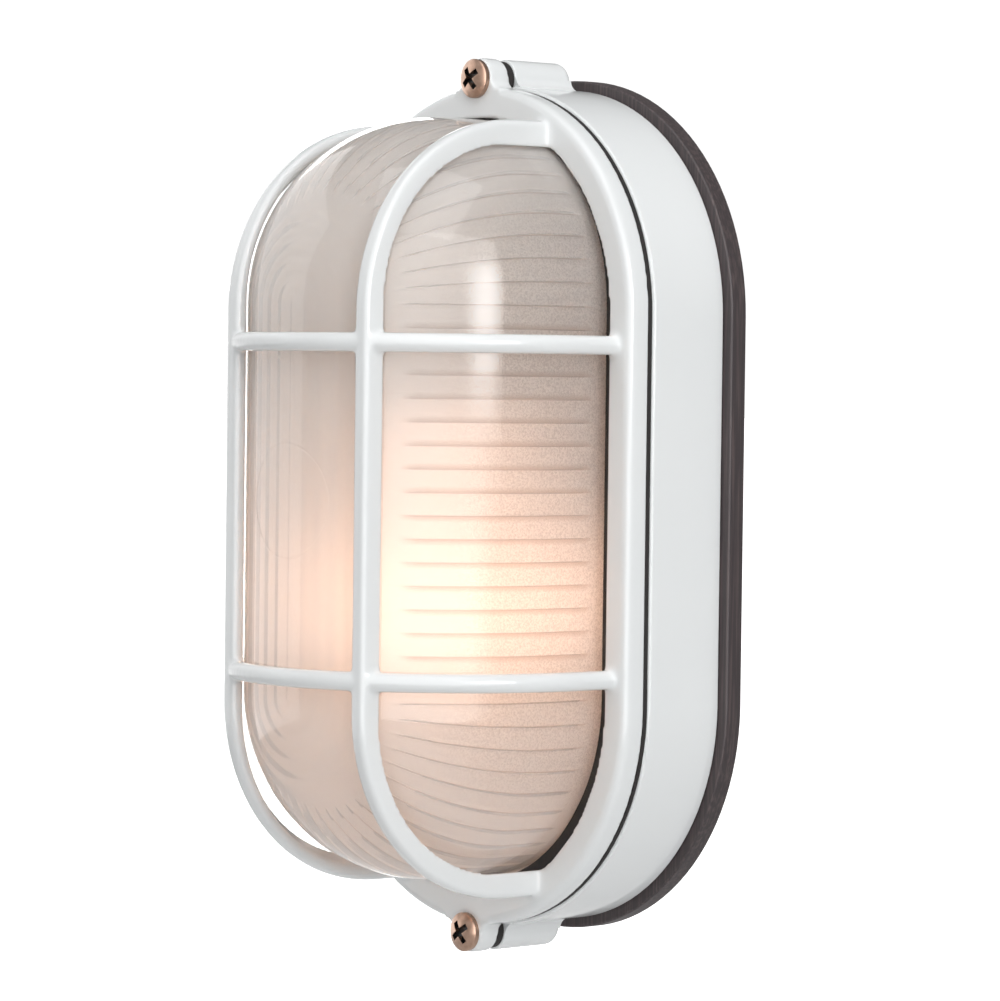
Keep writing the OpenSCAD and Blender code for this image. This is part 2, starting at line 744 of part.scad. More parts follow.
// Cast guard: a ring with a rebate for the lens seal, a cage of arches and hoops, and two screw lugs
module guard() {
    color(enamel) on_wall() difference() {
        union() {
            oval_sweep() difference() {
                plate_profile(ring_r, ring_z, face_z, cast_edge, ring_edge);
                square([ring_open_r, face_z + over]);
                square([rebate_r, lip_z]);
            }
            difference() {
                union() {
                    for (side = [-1, 1]) {
                        translate([side * arch_x, 0, 0]) arch();
                        translate([0, side * hoop_y, 0]) hoop();
                    }
                }
                oval_sweep(oval_half + lens_raise) dome_profile(lens_r + cage_clear, 0);
            }
            at_lugs() {
                rotate_extrude() plate_profile(lug_r, ring_z, face_z, cast_edge, base_edge);
                translate([0, 0, ring_z]) linear_extrude(face_z - ring_z) lug_blend(lug_r, ring_r);
            }
        }
        at_lugs() cylinder(h = face_z, r = screw_d / 2 + screw_clear);
    }
}

// One cover screw in its place on a lug
module cover_screw(side) {
    color(nickel) on_wall() translate([0, side * lug_y, face_z]) rotate([0, 0, recess_turn])
        screw(screw_d, head_d, head_h, head_dome, face_z - base_lug_z + screw_grip,
            recess_l, recess_w, recess_depth);
}

module top_screw() {
    cover_screw(1);
}

module bottom_screw() {
    cover_screw(-1);
}

// One rubber washer between a guard lug and a base lug
module lug_seal(side) {
    color(rubber) on_wall() translate([0, side * lug_y, base_lug_z]) difference() {
        cylinder(h = ring_z - base_lug_z, d = seal_d);
        translate([0, 0, -over]) cylinder(h = ring_z - base_lug_z + 2 * over, r = screw_d / 2 + screw_clear);
    }
}

module top_lug_seal() {
    lug_seal(1);
}

module bottom_lug_seal() {
    lug_seal(-1);
}

rear_gasket();
base_housing();
cable_grommet();
terminal_block();
terminal_inserts();
terminal_screws();
line_lead();
neutral_lead();
earth_screw();
holder_bracket();
bracket_screws();
lampholder_body();
lampholder_shell();
lampholder_contact();
lampholder_screws();
lampholder_terminals();
bulb();
lens();
lens_seal();
guard();
top_screw();
bottom_screw();
top_lug_seal();
bottom_lug_seal();
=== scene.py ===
import json
import math
import bpy
from mathutils import Matrix, Vector


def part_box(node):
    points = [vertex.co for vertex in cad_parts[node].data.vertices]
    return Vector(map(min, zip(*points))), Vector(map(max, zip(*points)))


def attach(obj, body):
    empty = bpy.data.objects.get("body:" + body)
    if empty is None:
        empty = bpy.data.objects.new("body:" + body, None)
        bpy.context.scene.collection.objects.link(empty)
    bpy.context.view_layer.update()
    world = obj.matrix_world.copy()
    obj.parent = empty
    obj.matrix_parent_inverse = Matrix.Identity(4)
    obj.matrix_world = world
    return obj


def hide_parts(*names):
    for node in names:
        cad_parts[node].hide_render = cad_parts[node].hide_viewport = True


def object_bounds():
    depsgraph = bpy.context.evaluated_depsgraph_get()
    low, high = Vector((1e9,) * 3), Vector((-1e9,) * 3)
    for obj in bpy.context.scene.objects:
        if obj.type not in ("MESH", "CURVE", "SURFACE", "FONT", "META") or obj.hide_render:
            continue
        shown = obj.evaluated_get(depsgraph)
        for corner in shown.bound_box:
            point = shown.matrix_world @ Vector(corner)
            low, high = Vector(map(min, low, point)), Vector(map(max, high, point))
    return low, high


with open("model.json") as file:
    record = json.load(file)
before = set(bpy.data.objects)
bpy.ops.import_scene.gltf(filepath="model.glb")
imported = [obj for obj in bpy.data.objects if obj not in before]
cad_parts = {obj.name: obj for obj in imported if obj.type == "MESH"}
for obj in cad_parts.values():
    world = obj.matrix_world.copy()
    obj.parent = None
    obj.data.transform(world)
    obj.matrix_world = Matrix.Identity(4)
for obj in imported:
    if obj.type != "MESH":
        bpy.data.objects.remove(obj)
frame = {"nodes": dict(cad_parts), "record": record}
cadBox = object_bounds()
mm = 0.001
hair = 0.01 * mm  # less than any step of a new mesh
bodyOf = {node: body for body, nodes in frame["record"]["behaviour"]["bodies"].items() for node in nodes}
print("frame loaded:", len(frame["nodes"]), "nodes")


# small helpers

weld = {"new": 0.005 * mm, "cad": 0.002 * mm, "sliver": 0.001 * mm}  # points closer than this are merged


def linearHex(code):
    parts = [int(code[i:i + 2], 16) / 255 for i in (1, 3, 5)]
    return [c / 12.92 if c <= 0.04045 else ((c + 0.055) / 1.055) ** 2.4 for c in parts] + [1.0]


def addObject(name, data):
    thing = bpy.data.objects.new(name, data)
    bpy.context.scene.collection.objects.link(thing)
    return thing


def pick(piece):
    bpy.ops.object.select_all(action="DESELECT")
    piece.select_set(True)
    bpy.context.view_layer.objects.active = piece


def applyModifier(piece, kind, **settings):
    pick(piece)
    modifier = piece.modifiers.new(kind, kind)
    for name, value in settings.items():
        setattr(modifier, name, value)
    bpy.ops.object.modifier_apply(modifier=modifier.name)


def editAll(piece):
    pick(piece)
    bpy.ops.object.mode_set(mode="EDIT")
    bpy.ops.mesh.select_all(action="SELECT")


def leaveEdit():
    bpy.ops.object.mode_set(mode="OBJECT")


def selectParts(piece, level, test):  # opens edit mode with only the parts that pass the test
    editAll(piece)
    bpy.ops.mesh.select_mode(type={"vertices": "VERT", "edges": "EDGE", "polygons": "FACE"}[level])
    bpy.ops.mesh.select_all(action="DESELECT")
    leaveEdit()
    for part in getattr(piece.data, level):
        part.select = test(part)
    bpy.ops.object.mode_set(mode="EDIT")


def moveAll(piece, offset):
    editAll(piece)
    bpy.ops.transform.translate(value=offset)
    leaveEdit()


def mergeAndTurnOut(piece):
    editAll(piece)
    bpy.ops.mesh.remove_doubles(threshold=weld["new"])
    bpy.ops.mesh.normals_make_consistent(inside=False)
    leaveEdit()


def smoothShade(piece, angle):
    pick(piece)
    bpy.ops.object.shade_smooth_by_angle(angle=math.radians(angle))


def copyNode(node, name):  # a merged copy of a CAD solid, to be finished
    piece = addObject(name, frame["nodes"][node].data.copy())
    piece.data.materials.clear()
    pick(piece)
    bpy.ops.mesh.customdata_custom_splitnormals_clear()
    editAll(piece)
    bpy.ops.mesh.remove_doubles(threshold=weld["cad"])
    bpy.ops.mesh.dissolve_degenerate(threshold=weld["sliver"])
    leaveEdit()
    return piece


def standFor(piece, node, material=None):
    if material:
        piece.data.materials.append(material)
    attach(piece, bodyOf[node])
    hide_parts(node)


# camera: stands where the photo was taken, measured from the middle of the gasket's back on the wall

photoView = {
    "azimuth": 47.3,
    "elevation": 1.73,
    "roll": -0.74,
    "distance": 1.0876,
    "focalPixels": 4408,
    "wallPixel": (578.2, 504.7),  # where the photo shows that middle
    "frameSize": (1000, 1001),
    "sensor": 36.0,
    "farClip": 50.0,
}


def placeCamera(view):
    turn, lift, roll = (math.radians(view[k]) for k in ("azimuth", "elevation", "roll"))
    back = Vector((math.sin(turn) * math.cos(lift), -math.cos(turn) * math.cos(lift), math.sin(lift)))
    right = Vector((math.cos(turn), math.sin(turn), 0))
    up = back.cross(right)
    across = math.cos(roll) * right - math.sin(roll) * up
    along = math.sin(roll) * right + math.cos(roll) * up
    aimed = Matrix((across, along, back)).transposed()
    width, height = view["frameSize"]
    offX = (view["wallPixel"][0] - width / 2) / view["focalPixels"]
    offY = (height / 2 - view["wallPixel"][1]) / view["focalPixels"]
    turned = Vector((offX, offY, -1)).rotation_difference(Vector((0, 0, -1))).to_matrix()
    data = bpy.data.cameras.new("photo_camera")
    data.sensor_width = view["sensor"]
    data.lens = view["focalPixels"] * view["sensor"] / max(width, height)
    data.clip_end = view["farClip"]
    camera = addObject("photo_camera", data)
    wallMiddle = Vector((0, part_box("rear_gasket")[1].y, 0))
    stand = Matrix.Translation(wallMiddle + back * view["distance"])
    camera.matrix_world = stand @ (aimed @ turned).to_4x4()
    bpy.context.scene.camera = camera


placeCamera(photoView)
print("camera placed")


# materials: each bump is a strength and a depth

mixFirst, mixSecond, mixResult = 6, 7, 2  # the colour sockets of a Mix node


def addNode(tree, kind, inputs=None, **settings):
    node = tree.nodes.new("ShaderNode" + kind)
    for name, value in settings.items():
        setattr(node, name, value)
    for name, value in (inputs or {}).items():
        if isinstance(value, bpy.types.NodeSocket):
            tree.links.new(value, node.inputs[name])
        else:
            node.inputs[name].default_value = value
    return node


def startMaterial(name, sockets):
    material = bpy.data.materials.new(name)
    material.use_nodes = True
    tree = material.node_tree
    shader = tree.nodes["Principled BSDF"]
    for socket, value in sockets.items():
        shader.inputs[socket].default_value = value
    place = addNode(tree, "TexCoord").outputs["Object"]
    return material, tree, shader, place


def finishSurface(tree, shader, share, first, second, height, bump):  # mixes two tones and adds relief
    tone = addNode(tree, "Mix", {"Factor": share, mixFirst: first, mixSecond: second}, data_type="RGBA")
    relief = addNode(tree, "Bump", {"Height": height, "Strength": bump[0], "Distance": bump[1]})
    tree.links.new(tone.outputs[mixResult], shader.inputs["Base Color"])
    tree.links.new(relief.outputs["Normal"], shader.inputs["Normal"])


enamelLook = {
    "colour": "#eef0f0",
    "shade": "#e3e6e7",
    "roughness": 0.1,
    "ior": 1.52,
    "cloudSize": 55 * mm,
    "peelSize": 2.4 * mm,
    "peelBump": (0.06, 0.1 * mm),
}


def makeEnamel(look):
    # baked gloss enamel on a cast body: clear highlights over a faint orange peel, with slight cloudiness
    material, tree, shader, place = startMaterial("gloss_white_enamel", {
        "Roughness": look["roughness"], "IOR": look["ior"]})
    cloud = addNode(tree, "TexNoise", {"Vector": place, "Scale": 1 / look["cloudSize"], "Detail": 2.0})
    peel = addNode(tree, "TexNoise", {"Vector": place, "Scale": 1 / look["peelSize"], "Detail": 1.0})
    finishSurface(tree, shader, cloud.outputs["Fac"], linearHex(look["shade"]), linearHex(look["colour"]),
                  peel.outputs["Fac"], look["peelBump"])
    return material


rubberLook = {
    "wall_gasket_rubber": {"colour": "#372f31", "dust": "#5a4d4c", "roughness": 0.5},
    "lens_seal_rubber": {"colour": "#120d0c", "dust": "#241b19", "roughness": 0.6},
}
recessShadeLook = {"colour": "#0b0806", "dust": "#1d1511", "roughness": 0.4}  # painted shade for the screws' recesses, nearly black
rubberBrush = {
    "ior": 1.5,
    "width": 0.7 * mm,  # coarser than real scratches, so that they show
    "length": 25 * mm,
    "dustFrom": 0.45,
    "dustTo": 0.8,
    "bump": (0.25, 0.1 * mm),
}


def makeRubber(name, look, brush):
    # moulded EPDM: a soft dark sheen, brushed lengthways with fine pale scratches
    material, tree, shader, place = startMaterial(name, {"Roughness": look["roughness"], "IOR": brush["ior"]})
    across, length = 1 / brush["width"], 1 / brush["length"]
    along = addNode(tree, "Mapping", {"Vector": place, "Scale": (across, across, length)})
    scratch = addNode(tree, "TexNoise", {"Vector": along.outputs["Vector"], "Scale": 1.0, "Detail": 3.0})
    dusty = addNode(tree, "MapRange", {
        "Value": scratch.outputs["Fac"], "From Min": brush["dustFrom"], "From Max": brush["dustTo"],
        "To Min": 0.0, "To Max": 1.0})
    finishSurface(tree, shader, dusty.outputs["Result"], linearHex(look["colour"]), linearHex(look["dust"]),
                  scratch.outputs["Fac"], brush["bump"])
    return material


metalLook = {
    "nickel_plate": {"colour": "#cfb09c", "shade": "#8f7161", "roughness": 0.3},
    "zinc_plate": {"colour": "#c8cbd0", "shade": "#9a9ea6", "roughness": 0.38},
    "turned_brass": {"colour": "#d3b265", "shade": "#a8853f", "roughness": 0.3},
}
metalStain = {"size": 1.6 * mm, "bump": (0.1, 0.05 * mm)}


def makeMetal(name, look, stain):
    # plated or turned small parts: warm soft reflections with a fine tarnish
    material, tree, shader, place = startMaterial(name, {"Metallic": 1.0, "Roughness": look["roughness"]})
    tarnish = addNode(tree, "TexNoise", {"Vector": place, "Scale": 1 / stain["size"], "Detail": 4.0})
    finishSurface(tree, shader, tarnish.outputs["Fac"], linearHex(look["shade"]), linearHex(look["colour"]),
                  tarnish.outputs["Fac"], stain["bump"])
    return material


porcelainLook = {
    "colour": "#f4f1e9",
    "shade": "#e6e1d4",
    "roughness": 0.12,
    "ior": 1.5,
    "poolSize": 9 * mm,
    "poolBump": (0.08, 0.3 * mm),
}


def makePorcelain(look):
    # glazed steatite: ivory white, glassy, with faint pooling in the glaze
    material, tree, shader, place = startMaterial("glazed_porcelain", {
        "Roughness": look["roughness"], "IOR": look["ior"]})
    pool = addNode(tree, "TexNoise", {"Vector": place, "Scale": 1 / look["poolSize"], "Detail": 2.0})
    finishSurface(tree, shader, pool.outputs["Fac"], linearHex(look["shade"]), linearHex(look["colour"]),
                  pool.outputs["Fac"], look["poolBump"])
    return material


leadColours = {"red_lead_insulation": "#8f2f27", "white_lead_insulation": "#e6e3da"}
leadLook = {
    "roughness": 0.42,
    "ior": 1.47,
    "shade": 0.8,
    "grainSize": 1.2 * mm,
    "grainBump": (0.1, 0.05 * mm),
}


def makeInsulation(name, colour, look):
    # extruded wire insulation: satin, a little uneven
    material, tree, shader, place = startMaterial(name, {"Roughness": look["roughness"], "IOR": look["ior"]})
    grain = addNode(tree, "TexNoise", {"Vector": place, "Scale": 1 / look["grainSize"], "Detail": 2.0})
    dark = [c * look["shade"] for c in linearHex(colour)[:3]] + [1.0]
    finishSurface(tree, shader, grain.outputs["Fac"], dark, linearHex(colour),
                  grain.outputs["Fac"], look["grainBump"])
    return material


glassLook = {
    "ior": 1.5,
    "frontTo": 28 * mm,  # the lens's front ends, and its sides begin, this far from the middle
    "sideFrom": 43 * mm,
    "clear": "#fffdfb",
    "gloss": 0.06,
    "milkFront": 0.2,
    "milkSide": 0.05,
    "waveSize": 14 * mm,
    "waveBump": (0.12, 0.6 * mm),
    "mouldRing": 13.4 * mm,
    "ringWidth": 0.35 * mm,
    "ringBump": (0.5, 0.12 * mm),
    "frost": "#fff9f4",
    "frostRoughness": 0.85,
    "clearFront": 0.33,
    "clearSide": 0.36,
    # painted shade in the grooves, mixed in by the groove attribute
    "groove": "#d3c4ba",
    "grain": "#75665d",
    "grainSize": 0.45 * mm,  # coarser than a real etch, so that it shows
    "grainBump": (0.15, 0.08 * mm),
    "grainFront": 0.04,
    "grainSide": 0.3,
    "speckFrom": 0.38,
    "speckTo": 0.66,
}


def fromFrontToSide(tree, place, look, front, side):  # a share that differs at the lens's front and sides
    across = addNode(tree, "SeparateXYZ", {"Vector": place}).outputs["X"]
    aside = addNode(tree, "Math", {0: across}, operation="ABSOLUTE")
    share = addNode(tree, "MapRange", {
        "Value": aside.outputs[0], "From Min": look["frontTo"], "From Max": look["sideFrom"],
        "To Min": front, "To Max": side}, interpolation_type="SMOOTHSTEP")
    return share.outputs["Result"]


def makeClearGlass(look, middle):
    # pressed soda glass: smooth outside, with slow ripples, the mould's round parting line and a faint milk
    material, tree, shader, place = startMaterial("pressed_clear_glass", {
        "Base Color": linearHex(look["clear"]), "Roughness": look["gloss"], "IOR": look["ior"]})
    clear = fromFrontToSide(tree, place, look, 1 - look["milkFront"], 1 - look["milkSide"])
    tree.links.new(clear, shader.inputs["Transmission Weight"])
    wave = addNode(tree, "TexNoise", {"Vector": place, "Scale": 1 / look["waveSize"], "Detail": 1.0})
    flat = addNode(tree, "Mapping", {"Vector": place, "Location": (0, 0, -middle), "Scale": (1, 0, 1)})
    spread = addNode(tree, "VectorMath", {0: flat.outputs["Vector"]}, operation="LENGTH")
    away = addNode(tree, "Math", {0: spread.outputs["Value"], 1: look["mouldRing"]}, operation="SUBTRACT")
    near = addNode(tree, "Math", {0: away.outputs[0]}, operation="ABSOLUTE")
    line = addNode(tree, "MapRange", {
        "Value": near.outputs[0], "From Min": 0.0, "From Max": look["ringWidth"],
        "To Min": 1.0, "To Max": 0.0}, interpolation_type="SMOOTHSTEP")
    ripple = addNode(tree, "Bump", {
        "Height": wave.outputs["Fac"], "Strength": look["waveBump"][0], "Distance": look["waveBump"][1]})
    ring = addNode(tree, "Bump", {
        "Height": line.outputs["Result"], "Normal": ripple.outputs["Normal"],
        "Strength": look["ringBump"][0], "Distance": look["ringBump"][1]})
    tree.links.new(ring.outputs["Normal"], shader.inputs["Normal"])
    return material


def makeFrostedGlass(look):
    # the same glass inside, etched: a soft glow of the lamp, with painted shade in the grooves and a fine
    # grain
    material, tree, shader, place = startMaterial("etched_frosted_glass", {
        "Roughness": look["frostRoughness"], "IOR": look["ior"]})
    clear = fromFrontToSide(tree, place, look, look["clearFront"], look["clearSide"])
    tree.links.new(clear, shader.inputs["Transmission Weight"])
    grain = addNode(tree, "TexNoise", {"Vector": place, "Scale": 1 / look["grainSize"], "Detail": 2.0})
    depth = fromFrontToSide(tree, place, look, look["grainFront"], look["grainSide"])
    speck = addNode(tree, "MapRange", {
        "Value": grain.outputs["Fac"], "From Min": look["speckFrom"], "From Max": look["speckTo"],
        "To Min": 0.0, "To Max": 1.0})
    share = addNode(tree, "Math", {0: depth, 1: speck.outputs["Result"]}, operation="MULTIPLY")
    etched = addNode(tree, "Mix", {
        "Factor": share.outputs[0], mixFirst: linearHex(look["frost"]), mixSecond: linearHex(look["grain"])},
        data_type="RGBA")
    # the groove attribute holds painted shade, which darkens the frost along each groove
    groove = addNode(tree, "Attribute", attribute_name="groove")
    finishSurface(tree, shader, groove.outputs["Fac"], etched.outputs[mixResult], linearHex(look["groove"]),
                  grain.outputs["Fac"], look["grainBump"])
    return material


lampLook = {
    "glass": "#fff6ea",
    "roughness": 0.3,
    "ior": 1.5,
    "glow": "#ffd0b2",
    "strength": 2.5,
    "dim": 1.45,
    "filamentUp": -4 * mm,
    "fadeLength": 32 * mm,
}


def makeLampGlass(look, middle):
    # opal lamp envelope, lit: brightest round the filament, fading towards the ball's end and the neck
    material, tree, shader, place = startMaterial("opal_lamp_glass", {
        "Base Color": linearHex(look["glass"]), "Roughness": look["roughness"], "IOR": look["ior"],
        "Emission Color": linearHex(look["glow"])})
    height = addNode(tree, "SeparateXYZ", {"Vector": place}).outputs["Z"]
    off = addNode(tree, "Math", {0: height, 1: middle + look["filamentUp"]}, operation="SUBTRACT")
    away = addNode(tree, "Math", {0: off.outputs[0]}, operation="ABSOLUTE")
    fade = addNode(tree, "MapRange", {
        "Value": away.outputs[0], "From Min": 0.0, "From Max": look["fadeLength"],
        "To Min": look["strength"], "To Max": look["dim"]}, interpolation_type="SMOOTHSTEP")
    tree.links.new(fade.outputs["Result"], shader.inputs["Emission Strength"])
    return material


enamel = makeEnamel(enamelLook)
rubbers = {name: makeRubber(name, look, rubberBrush) for name, look in rubberLook.items()}
# near-black painted shade for the screws' recesses, with the rubber's dull sheen
recessShade = makeRubber("recess_painted_shade", recessShadeLook, rubberBrush)
metals = {name: makeMetal(name, look, metalStain) for name, look in metalLook.items()}
porcelain = makePorcelain(porcelainLook)
leads = {name: makeInsulation(name, colour, leadLook) for name, colour in leadColours.items()}
print("materials made:", len(bpy.data.materials))


# cast guard: the CAD solid fused into one skin, with the soft fillets that a casting has where its bars meet

guardCast = {
    "voxel": 0.6 * mm,
    "rounds": 6,
    "factor": 0.5,
    "refill": 0.05 * mm,  # gives back what the smoothing takes off
    "keep": 0.55,
    "crease": 60,
}


def makeGuard(cast):
    piece = copyNode("guard", "guard_casting")
    applyModifier(piece, "REMESH", mode="VOXEL", voxel_size=cast["voxel"], use_smooth_shade=True)
    applyModifier(piece, "SMOOTH", factor=cast["factor"], iterations=cast["rounds"])
    applyModifier(piece, "DISPLACE", strength=cast["refill"], mid_level=0.0)
    applyModifier(piece, "DECIMATE", ratio=cast["keep"])
    smoothShade(piece, cast["crease"])
    standFor(piece, "guard", enamel)
    print("guard cast:", len(piece.data.polygons), "faces")


makeGuard(guardCast)


# lens: a quarter ball pulled out to half the oval, footed, mirrored, walled, pressed inside and flanged

lensPress = {
    "headHeight": 2.6 * mm,  # of the cover screws, which sit on the ring's face
    "flangeWidth": 3.2 * mm,
    "flangeThick": 2.6 * mm,
    "wall": 3.5 * mm,
    "endReeds": 24,
    "sideReeds": 17,
    "facesPerReed": 6,
    "rings": 72,
    "loopRings": 40,
    "footRows": 8,
    "grooveDepth": 0.3 * mm,
    "grooveReach": 0.055,  # half a groove's width, as a share of the reeds' pitch
    "reedFront": 25.5 * mm,
    "reedLift": 0.5 * mm,
    "reedTaper": 1.2 * mm,
    "backTaper": 2.4 * mm,
    "paintedShadeFull": 0.7,  # the painted shade in a groove is full from this share of the inner radius
    "loopPitch": 4.3 * mm,
    "loopCount": 5,
    "loopHeight": 0.22 * mm,
    "upright": 0.5,  # largest lean of the faces that grow into the flange
    "crease": 50,
}


def lensSizes(press):
    low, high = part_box("lens")
    outer = high.x - press["flangeWidth"]
    axisOut = -low.y - outer
    return {
        "outer": outer,
        "inner": outer - press["wall"],
        "axisOut": axisOut,
        "wallLength": axisOut + high.y - press["flangeThick"],
        "half": (high.z - low.z) / 2 - high.x,
        "raise": (high.z + low.z) / 2,
        "face": -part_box("top_screw")[0].y - press["headHeight"],
    }


def easeStep(value, start, end):
    share = min(max((value - start) / (end - start), 0.0), 1.0)
    return share * share * (3 - 2 * share)


def pastStraight(height, size):  # how far a height lies past the straight part of the oval
    return max(abs(height) - size["half"], 0.0)


def reedPlace(point, press, size):  # reed pitches round the oval from the middle of the side
    past = pastStraight(point.z, size)
    if past > 0:
        return press["sideReeds"] / 2 + press["endReeds"] * math.atan2(past, abs(point.x)) / math.pi
    return press["sideReeds"] * abs(point.z) / (2 * size["half"])


def drawToGroove(point, press, size):  # moves a point round the oval, for rows close beside each groove
    row, near = 1 / press["facesPerReed"], press["grooveReach"]
    off = reedPlace(point, press, size) % 1 - 0.5
    wide = abs(off)
    drawn = wide * near / row if wide < row else near + (wide - row) * (0.5 - near) / (0.5 - row)
    shift = math.copysign(drawn, off) - off
    if pastStraight(point.z, size) > 0:
        turn = shift * math.pi / press["endReeds"] * math.copysign(1, -point.x * point.z)
        centre = Vector((0, 0, math.copysign(size["half"], point.z)))
        return Matrix.Rotation(turn, 3, "Y") @ (point - centre) + centre
    step = math.copysign(shift * 2 * size["half"] / press["sideReeds"], point.z)
    return Vector((point.x, point.y, point.z + step))


def spreadOverLoops(point, press, size):  # moves a point along the dome, for even rows over the loops
    spread = math.hypot(point.x, pastStraight(point.z, size))
    if point.y >= 0 or spread == 0:
        return point
    loopSlope = math.asin(press["loopCount"] * press["loopPitch"] / size["inner"])
    evenSlope = math.pi / 2 * press["loopRings"] / press["rings"]
    slope = math.atan2(spread, -point.y)
    if slope < evenSlope:
        slope = math.asin(slope / evenSlope * math.sin(loopSlope))
    else:
        rest = (math.pi / 2 - loopSlope) / (math.pi / 2 - evenSlope)
        slope = loopSlope + (slope - evenSlope) * rest
    grow = size["outer"] * math.sin(slope) / spread
    base = min(abs(point.z), size["half"])
    height = math.copysign(base + (abs(point.z) - base) * grow, point.z)
    return Vector((point.x * grow, -size["outer"] * math.cos(slope), height))


def pressedDepth(point, press, size):  # how far the inside is pressed in at a point, and the painted shade of its groove
    spread = math.hypot(point.x, pastStraight(point.z, size))
    loops = 0.0
    if point.y < 0 and spread < press["loopCount"] * press["loopPitch"]:
        loops = press["loopHeight"] * (1 - math.cos(2 * math.pi * spread / press["loopPitch"])) / 2
    off = abs(reedPlace(point, press, size) % 1 - 0.5)
    groove = max(1 - off / press["grooveReach"], 0.0)
    front = press["reedFront"]
    back = size["axisOut"] - size["face"] - press["reedLift"]
    groove *= easeStep(spread, front, front + press["reedTaper"])
    groove *= easeStep(-point.y, -back, press["backTaper"] - back)
    # painted shade in the groove, growing in from the reeds' front
    shade = groove * easeStep(spread, front, press["paintedShadeFull"] * size["inner"])
    return loops - groove * press["grooveDepth"], shade


def startHalfOval(press, size):
    half = size["half"]
    bpy.ops.object.select_all(action="DESELECT")
    bpy.ops.mesh.primitive_uv_sphere_add(
        segments=2 * press["endReeds"] * press["facesPerReed"], ring_count=2 * press["rings"],
        radius=size["outer"], rotation=(math.pi / 2, 0, 0))
    piece = bpy.context.object
    piece.name = "lens_pressing"
    bpy.ops.object.transform_apply(location=False, rotation=True, scale=False)
    selectParts(piece, "vertices", lambda v: v.co.y > hair or v.co.z < -hair)
    bpy.ops.mesh.delete(type="VERT")
    leaveEdit()
    moveAll(piece, (0, 0, half))
    selectParts(piece, "vertices", lambda v: v.co.z < half + hair)
    bpy.ops.mesh.extrude_region_move(TRANSFORM_OT_translate={"value": (0, 0, -half)})
    leaveEdit()
    points = piece.data.vertices
    selectParts(piece, "edges", lambda e: (
        abs(points[e.vertices[0]].co.z - points[e.vertices[1]].co.z) > half - hair))
    bpy.ops.mesh.subdivide(number_cuts=round(press["sideReeds"] * press["facesPerReed"] / 2) - 1)
    leaveEdit()
    return piece


def addFoot(piece, press, size):  # rows straight back from the dome, the last as thick as the flange
    selectParts(piece, "vertices", lambda v: v.co.y > -hair)
    rows = press["footRows"]
    for length in [size["wallLength"] / rows] * rows + [press["flangeThick"]]:
        bpy.ops.mesh.extrude_region_move(TRANSFORM_OT_translate={"value": (0, length, 0)})
    leaveEdit()


def pressInside(piece, press, size):  # loops and grooves on the inner wall only, with each groove's painted shade kept as an attribute
    paintedShades = [0.0] * len(piece.data.vertices)
    for vert in piece.data.vertices:
        past = math.copysign(pastStraight(vert.co.z, size), vert.co.z)
        reach = Vector((vert.co.x, min(vert.co.y, 0.0), past))
        if reach.length < size["outer"] - press["wall"] / 2:
            inward, paintedShades[vert.index] = pressedDepth(vert.co, press, size)
            vert.co -= reach.normalized() * inward
    piece.data.attributes.new("groove", "FLOAT", "POINT").data.foreach_set("value", paintedShades)


def growFlange(piece, press, size):
    def isRim(face):  # the outer side of the foot's last row
        past = math.copysign(pastStraight(face.center.z, size), face.center.z)
        outward = face.normal.x * face.center.x + face.normal.z * past
        return face.center.y > size["wallLength"] and abs(face.normal.y) < press["upright"] and outward > 0

    selectParts(piece, "polygons", isRim)
    bpy.ops.mesh.extrude_region_shrink_fatten(TRANSFORM_OT_shrink_fatten={"value": press["flangeWidth"]})
    leaveEdit()


def makeLens(press, look):
    size = lensSizes(press)
    piece = startHalfOval(press, size)
    piece.data.materials.append(makeClearGlass(look, size["raise"]))
    piece.data.materials.append(makeFrostedGlass(look))
    addFoot(piece, press, size)
    applyModifier(piece, "MIRROR", use_axis=(False, False, True), merge_threshold=hair)
    mergeAndTurnOut(piece)
    for vert in piece.data.vertices:
        vert.co = spreadOverLoops(drawToGroove(vert.co, press, size), press, size)
    applyModifier(piece, "SOLIDIFY", thickness=press["wall"], offset=-1, material_offset=1)
    pressInside(piece, press, size)
    growFlange(piece, press, size)
    moveAll(piece, (0, -size["axisOut"], size["raise"]))
    smoothShade(piece, press["crease"])
    standFor(piece, "lens")
    print("lens pressed:", len(piece.data.polygons), "faces")


makeLens(lensPress, glassLook)


# lamp: an opal envelope turned from its outline, with a screw cap above it

lampTurn = {
    "neckLength": 46 * mm,
    "capRadius": 13 * mm,
    "capLength": 24 * mm,
    "capOverlap": 0.5 * mm,
    "capRim": 2 * mm,
    "rimDrop": 0.6 * mm,
    "endDrop": 0.2 * mm,
    "tipRadius": 4.5 * mm,
    "tipHeight": 1.2 * mm,
    "tipEdge": 0.8 * mm,
    "threadPitch": 3.6 * mm,
    "threadDepth": 0.9 * mm,
    "threadGap": 1 * mm,
    "plainLength": 5 * mm,  # of the cap, without thread
    "ballSteps": 30,
    "neckSteps": 14,
    "ridgeSteps": 8,
    "roundSteps": 64,
    "glassCrease": 60,
    "capCrease": 50,
}


def drawOutline(name, outline):  # joins (radius, height) pairs by edges
    mesh = bpy.data.meshes.new(name)
    mesh.from_pydata([(r, 0, h) for r, h in outline], [(i, i + 1) for i in range(len(outline) - 1)], [])
    return addObject(name, mesh)


def spinOutline(name, outline, middle, steps):  # turns an outline about an upright axis
    piece = drawOutline(name, outline)
    editAll(piece)
    bpy.ops.mesh.spin(steps=steps, angle=2 * math.pi, center=(0, 0, 0), axis=(0, 0, 1))
    leaveEdit()
    moveAll(piece, middle)
    mergeAndTurnOut(piece)
    return piece


